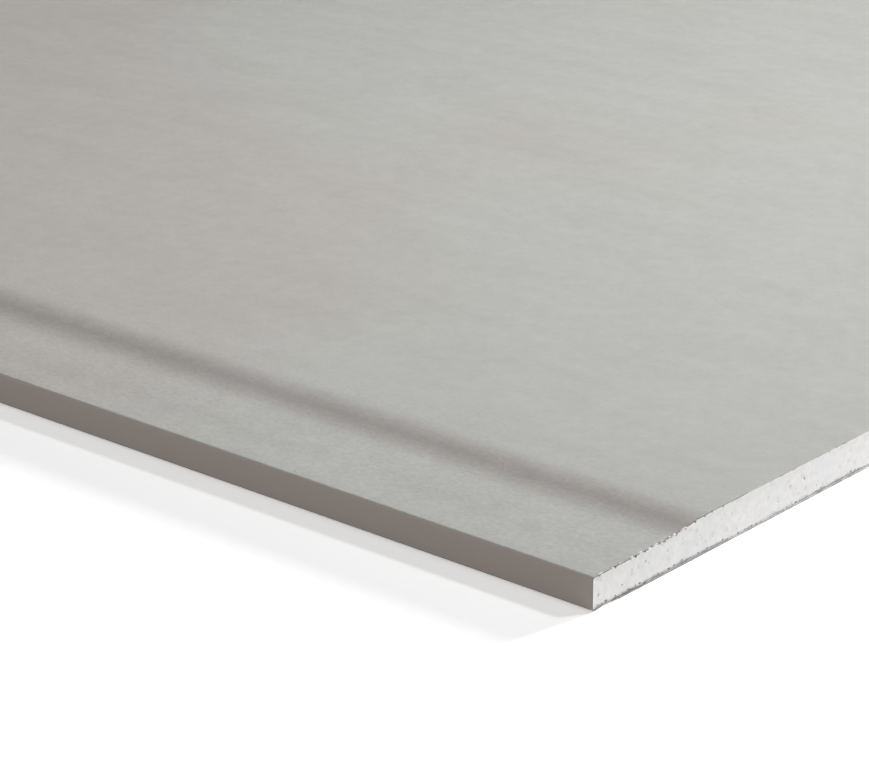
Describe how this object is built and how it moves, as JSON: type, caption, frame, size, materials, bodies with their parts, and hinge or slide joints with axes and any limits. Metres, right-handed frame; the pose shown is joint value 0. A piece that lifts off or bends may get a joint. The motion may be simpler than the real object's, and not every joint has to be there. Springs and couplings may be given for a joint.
{
  "type": "drywall sheet",
  "caption": "Flat gypsum board with face paper folded round its recessed long edges, a paper back and bare cut ends, for lining walls and ceilings.",
  "frame": {"origin": "centre of the back, at floor level", "axes": "+X along the sheet, +Y across it, +Z from the back up to the face"},
  "size_m": [2.4384, 1.2192, 0.0127],
  "materials": {
    "gypsum": "bare cut gypsum, matt and porous",
    "face_paper": "light grey paper, matt",
    "back_paper": "grey-brown recycled paper, matt and rough"
  },
  "bodies": {
    "root": {"gypsum_core": "gypsum", "face_paper": "face_paper", "back_paper": "back_paper"}
  },
  "joints": []
}
